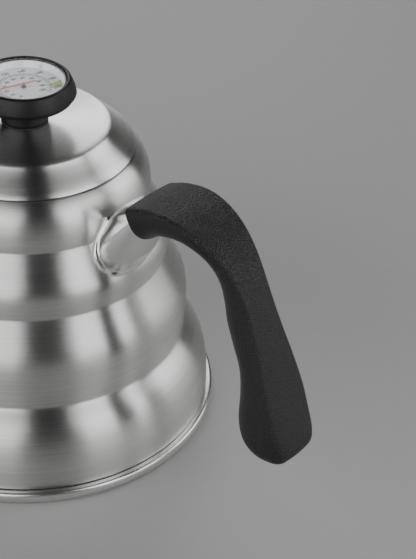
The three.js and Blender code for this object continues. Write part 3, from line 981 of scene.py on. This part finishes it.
# %% Lid
LID_EDGE = (39.95, 111.25)
LID_SLOPE = ((38.8, 113.4), (34.0, 116.0), (31.6, 119.0))
LID_BEND = ((31.0, 119.8), (30.0, 120.0), (27.5, 120.0))
lid_outside = eased(curved(LID_EDGE, LID_SLOPE, LID_BEND, steps=28), 1.2, closed=False)
lid_inside = inset(lid_outside, WALL)
lid_inside[0].y = LID_EDGE[1]
round_piece("lid", "lid", ["lid_shell"],
            [*lid_outside, (4.5, 120.2), (4.5, 119.4), *reversed(lid_inside)],
            lid_steel, 192, EDGE_RADIUS)
round_piece("lid_ring", "lid_seat_skirt", ["lid_skirt"],
            band(35.9, 36.7, 103, 112.4), inner_steel, 160, 0.3)

# %% [markdown]
# ## Knob
# The knob is a thermometer's housing: a neck, a flared flange to lift by, and a rim that
# holds the glass. Its outline has small radii where the mould's halves meet.

# %% Knob
round_piece("knob", "lid", ["knob_grip"],
            [(4.4, 121.4), (8.2, 121.4), (8.6, 121.8), (8.8, 125.2), (10.4, 127.6),
             (13.5, 128.6), (17.6, 129.9), (18.8, 131.7), (18.3, 133.6), (16.9, 136.9),
             (16.2, 137.4), (15.4, 137.4), (15.4, 130.4), (4.4, 130.4)],
            knob_plastic, 192, 0.45)
round_piece("knob_seal", "lid", ["sealing_washer"],
            band(4.5, 8.5, 120.5, 121.1), rubber, 96)

# %% [markdown]
# ## Thermometer
# A steel cup on a hollow threaded stem goes down through the knob and the lid, and a nut
# holds all three. A thin probe hangs from it into the water. The thread is cut as real
# rings of a fine pitch where the nut runs.

# %% Thermometer case, nut and probe
THREAD_START, THREAD_PITCH, THREAD_TURNS = 112.9, 0.75, 9
thread = []
for turn in range(THREAD_TURNS):
    root = THREAD_START + turn * THREAD_PITCH
    thread += [(3.55, root), (3.9, root + 0.3), (3.9, root + 0.42)]
round_piece("gauge_case", "lid", ["thermometer_case"],
            [(2.5, 112.5), (3.5, 112.5), *thread, (3.9, 119.9), (3.9, 130.7), (15.0, 130.7),
             (15.0, 132.6), (14.2, 132.6), (14.2, 131.5), (2.5, 131.5)], inner_steel, 128, 0.08)
round_piece("lid_washer", "lid", ["nut_washer"],
            band(4.2, 8.4, 118.2, 119.1), inner_steel, 96)


def hexagon_ring(flat_radius, limit, height, sides=72):
    """A hexagon cut to a circle, which is how a nut's corners are chamfered."""
    ring = []
    for k in range(sides):
        angle = math.tau * k / sides
        corner = (angle + math.pi / 6) % (math.pi / 3) - math.pi / 6
        radius = min(flat_radius / math.cos(corner), limit)
        ring.append(Vector((radius * math.cos(angle), radius * math.sin(angle), height)))
    return ring


NUT_RINGS = (                # half the width over flats, limit of the corners, height
    (6.24, 6.3, 114.5), (6.24, 7.2, 114.95), (6.24, 7.2, 117.45), (6.24, 6.3, 117.9),
    (4.5, 4.5, 117.9), (4.2, 4.2, 117.6), (4.2, 4.2, 114.8), (4.5, 4.5, 114.5),
)
nut = skinned("stem_nut", [hexagon_ring(*ring) for ring in NUT_RINGS], probe_steel, True)
settle(nut, "lid", ["clamp_nut"])
round_piece("probe", "lid", ["probe_tube"],
            band(1.5, 2.0, 21.5, 121), probe_steel, 64, 0.1)
round_piece("probe_end", "lid", ["probe_tip"],
            [(0, 19.6), (0.7, 19.62), (1.4, 19.9), (1.85, 20.4), (2.0, 21.0), (2.0, 21.2),
             (1.2, 21.2), (1.2, 22.7), (0, 22.7)], probe_steel, 64, 0.1)

# %% [markdown]
# ## Dial
# The dial is a painted disc. Its bezel holds the glass away from it, so the pointer has
# room, and a thin gasket seals the glass.

# %% Dial, bezel and glass
round_piece("dial_face", "lid", ["dial_plate"],
            band(0.95, 14.8, 132.9, 133.4), dial_white, 128, 0.05)
round_piece("bezel", "lid", ["bezel_ring"],
            [(13.8, 133.7), (15.1, 133.7), (15.1, 135.7), (14.75, 135.7), (14.7, 136.35),
             (14.4, 136.35), (14.0, 134.5)], bezel_white, 160, 0.12)
round_piece("lens_seal", "lid", ["lens_gasket"],
            band(14.8, 15.1, 136.0, 136.3), rubber, 128, 0.08)
round_piece("lens", "lid", ["glass_lens"],
            band(0, 15.1, 136.6, 137.1), glass, 160, 0.15)

# %% [markdown]
# ## Dial marks
# Marks repeat at one spacing with every fifth one longer, so a tree makes them: points
# round the circle, one small block on each, and a length chosen from the point's index.

# %% Dial marks tree
def marks_tree():
    """Blocks round a circle of the given radius, every so many of them longer."""
    tree, given, result = node_tree("dial marks", [
        ("Count", "Int", 51), ("Start", "Float", 0.0), ("Step", "Float", 0.1),
        ("Radius", "Float", 0.01), ("Length", "Float", 0.001), ("Long Every", "Int", 5),
        ("Long Factor", "Float", 1.8), ("Width", "Float", 0.0001),
        ("Thickness", "Float", 0.0001), ("Height", "Float", 0.1),
        ("Finish", "Material", None)])
    give = given.outputs

    def maths(operation, *values):
        return tree_node(tree, "ShaderNodeMath", {"operation": operation},
                         dict(enumerate(values))).outputs[0]

    index = tree_node(tree, "GeometryNodeInputIndex").outputs[0]
    angle = maths("ADD", give["Start"], maths("MULTIPLY", index, give["Step"]))
    place = tree_node(tree, "ShaderNodeCombineXYZ", inputs={
        0: maths("MULTIPLY", maths("COSINE", angle), give["Radius"]),
        1: maths("MULTIPLY", maths("SINE", angle), give["Radius"]), 2: give["Height"]})
    points = tree_node(tree, "GeometryNodePoints", inputs={
        "Count": give["Count"], "Position": place.outputs[0]})
    is_long = maths("COMPARE", maths("MODULO", index, give["Long Every"]), 0.0, 0.1)
    length = maths("MULTIPLY", give["Length"], maths("ADD", 1.0, maths(
        "MULTIPLY", is_long, maths("SUBTRACT", give["Long Factor"], 1.0))))
    size = tree_node(tree, "ShaderNodeCombineXYZ", inputs={
        0: length, 1: give["Width"], 2: give["Thickness"]})
    turn = tree_node(tree, "ShaderNodeCombineXYZ", inputs={2: angle})
    block = tree_node(tree, "GeometryNodeMeshCube", inputs={"Size": (1, 1, 1)})
    placed = tree_node(tree, "GeometryNodeInstanceOnPoints", inputs={
        "Points": points.outputs[0], "Instance": block.outputs[0],
        "Rotation": turn.outputs[0], "Scale": size.outputs[0]})
    return close_tree(tree, result, placed.outputs[0], give["Finish"])


MARKS = marks_tree()
MARK_HEIGHT = 133.425 * MM   # just above the dial's paint


def marks(name, count, first, last, radius, length, every):
    """Marks from one reading's angle to another, in degrees, at a radius in millimetres."""
    piece = object_from(name, bpy.data.meshes.new(name))
    apply_tree(piece, MARKS, {
        "Count": count, "Start": math.radians(first),
        "Step": math.radians((last - first) / (count - 1)), "Radius": radius * MM,
        "Length": length * MM, "Long Every": every, "Long Factor": 1.7,
        "Width": 0.2 * MM, "Thickness": 0.04 * MM, "Height": MARK_HEIGHT,
        "Finish": dial_ink})
    return settle(piece, "lid", [])


marks("marks_celsius", 51, dial_angle(0), dial_angle(100), 8.55, 0.5, 5)
marks("marks_fahrenheit", 91, dial_angle(0), dial_angle(100), 9.65, 0.6, 5)

# %% [markdown]
# ## Dial numbers
# Numbers stand upright for a reader who has the middle of the scale at the top. They are
# short text turned into thin closed meshes and joined into one piece.

# %% Dial numbers
DIAL_UP = dial_angle(50)     # the middle of the scale is at the top of the dial


def number_mesh(text, size):
    """A number as a thin mesh about the origin, size millimetres high."""
    letters = bpy.data.curves.new("number", "FONT")
    letters.body, letters.size = text, size * MM
    letters.align_x, letters.align_y = "CENTER", "CENTER"
    letters.extrude = 0.02 * MM
    letters.offset = 0.045 * MM
    letters.resolution_u = 4
    shape = object_from("number", letters)
    mesh = plain_mesh(shape)
    bpy.data.objects.remove(shape)
    bpy.data.curves.remove(letters)
    return mesh


def numbers(name, readings, radius, size):
    """Join the numbers (text, angle in degrees) into one mesh round the dial."""
    joined = bmesh.new()
    upright = rotation(DIAL_UP - 90, "Z")
    for text, angle in readings:
        turn = math.radians(angle)
        spot = Vector((math.cos(turn), math.sin(turn), 0)) * radius * MM
        spot.z = MARK_HEIGHT
        mesh = number_mesh(text, size)
        mesh.transform(Matrix.Translation(spot) @ upright)
        joined.from_mesh(mesh)
        bpy.data.meshes.remove(mesh)
    bmesh.ops.remove_doubles(joined, verts=joined.verts, dist=0.001 * MM)
    return settle(object_from_shape(name, joined, dial_ink), "lid", [])


numbers("numbers_celsius", [(str(c), dial_angle(c)) for c in range(0, 101, 10)], 6.8, 1.9)
numbers("numbers_fahrenheit", [(str(f), dial_angle((f - 32) / 1.8))
                               for f in range(40, 221, 20)], 11.7, 2.1)

# %% [markdown]
# ## Pointer
# The pointer is a thin red blade with a short tail. It is riveted to a small hub on the
# spindle, and a bimetal strip low in the probe turns the spindle. The frame turns the two
# pieces together, so both ride on the pointer's body.

# %% Pointer
def blade(name, outline, bottom, top, finish, bevel):
    """A flat plate with beveled edges from an outline in millimetres."""
    shape = bmesh.new()
    corners = [shape.verts.new((x * MM, y * MM, bottom * MM)) for x, y in outline]
    face = shape.faces.new(corners)
    raised = bmesh.ops.extrude_face_region(shape, geom=[face])["geom"]
    lifted = [v for v in raised if isinstance(v, bmesh.types.BMVert)]
    bmesh.ops.translate(shape, verts=lifted, vec=(0, 0, (top - bottom) * MM))
    bmesh.ops.recalc_face_normals(shape, faces=shape.faces)
    level = [e for e in shape.edges if abs(e.verts[0].co.z - e.verts[1].co.z) < 1e-7]
    bmesh.ops.bevel(shape, geom=level, offset=bevel * MM, segments=2, profile=0.5,
                    affect="EDGES")
    return object_from_shape(name, shape, finish)


HUB_RADIUS = 0.7
round_part = [(HUB_RADIUS * math.cos(math.radians(a)), HUB_RADIUS * math.sin(math.radians(a)))
              for a in range(140, 45, -10)]
upper = [(-4.9, 0.22), (-0.8, 0.36), *round_part, (0.8, 0.42), (11.4, 0.14)]
needle_outline = [*upper, *[(x, -y) for x, y in reversed(upper)]]
needle = blade("pointer_blade", needle_outline, 134.8, 135.1, needle_red, 0.05)
needle.data.transform(rotation(NEEDLE_REST, "Z"))
settle(needle, "pointer", ["needle"])
round_piece("pointer_hub", "pointer", ["needle_hub"],
            [(0, 133.5), (0.93, 133.5), (0.93, 133.75), (0.5, 133.95), (0.45, 134.75),
             (0, 134.75)], dial_ink, 48, 0.06)
print("pointer at", NEEDLE_REST, "degrees")

# %% [markdown]
# ## Hidden parts
# The tang, its washer and insert, the bush, the bimetal coil and the spindle sit inside
# other pieces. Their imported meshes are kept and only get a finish.

# %% Finishes for the hidden parts
HIDDEN = {
    "handle_tang": inner_steel, "screw_washer": inner_steel, "threaded_insert": brass,
    "spindle_bush": brass, "bimetal_coil": bimetal, "spindle": inner_steel,
}
for node, finish in HIDDEN.items():
    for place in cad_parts[node].material_slots:
        place.material = finish
print("kept nodes:", ", ".join(HIDDEN))

# %% [markdown]
# ## Floor and light
# Steel shows the room, so the lights are the finish as much as the steel is. Two large
# soft lights stand to the left and right of the camera with a gap between them. The gap is
# the dark stripe down the middle of the steel. A third, at the side, leaves a second and
# narrower stripe, and a fourth behind lights the far rims.

# %% Floor
FLOOR_HALF = 3               # metres
FLOOR_GAP = 0.2 * MM         # keeps the floor clear of the rim that stands on it
floor_finish = Finish("floor_finish", (0.375, 0.375, 0.375), 0.55)
floor_grain = floor_finish.noise(floor_finish.place()[0], 220.0, 3.0)
floor_finish.set("Base Color", floor_finish.blend_colors(
    floor_grain, (0.365, 0.365, 0.365), (0.385, 0.385, 0.382)))
floor_mesh = bpy.data.meshes.new("floor")
floor_mesh.from_pydata(
    [(x * FLOOR_HALF, y * FLOOR_HALF, 0) for x, y in ((-1, -1), (1, -1), (1, 1), (-1, 1))],
    [], [(0, 1, 2, 3)])
floor_mesh.materials.append(floor_finish.material)
floor = object_from("floor", floor_mesh)
floor.location.z = cad_box[0][2] - FLOOR_GAP
print("floor at", round(floor.location.z * 1000, 2), "mm")

# %% Lights
KETTLE_MIDDLE = Vector((0.01, 0, 0.07))
LIGHT_HEIGHT_ANGLE = 25      # degrees above the horizon
SOFTBOXES = (                # name, direction in degrees, distance, width, height, watts
    ("right softbox", 7.5, 1.1, 0.86, 0.85, 6.8),
    ("left softbox", -92, 1.1, 1.70, 0.85, 12.0),
    ("side softbox", 59, 1.2, 0.70, 0.85, 5.0),
    ("back softbox", 138, 1.3, 0.9, 0.62, 5.0),
)
WORLD_COLOR, WORLD_STRENGTH = (0.30, 0.305, 0.31, 1), 0.05


def soft_light(name, azimuth, distance, width, height, watts):
    """A rectangular light aimed at the kettle; lengths are in metres."""
    data = bpy.data.lights.new(name, "AREA")
    data.shape, data.size, data.size_y = "RECTANGLE", width, height
    data.energy = watts
    light = bpy.data.objects.new(name, data)
    bpy.context.scene.collection.objects.link(light)
    a, e = math.radians(azimuth), math.radians(LIGHT_HEIGHT_ANGLE)
    way = Vector((math.cos(a) * math.cos(e), math.sin(a) * math.cos(e), math.sin(e)))
    light.location = KETTLE_MIDDLE + way * distance
    light.rotation_euler = (-way).to_track_quat("-Z", "Y").to_euler()
    light.visible_camera = False


for softbox in SOFTBOXES:
    soft_light(*softbox)

world = bpy.data.worlds.new("studio")
world.use_nodes = True
background = world.node_tree.nodes["Background"].inputs
background["Color"].default_value = WORLD_COLOR
background["Strength"].default_value = WORLD_STRENGTH
bpy.context.scene.world = world
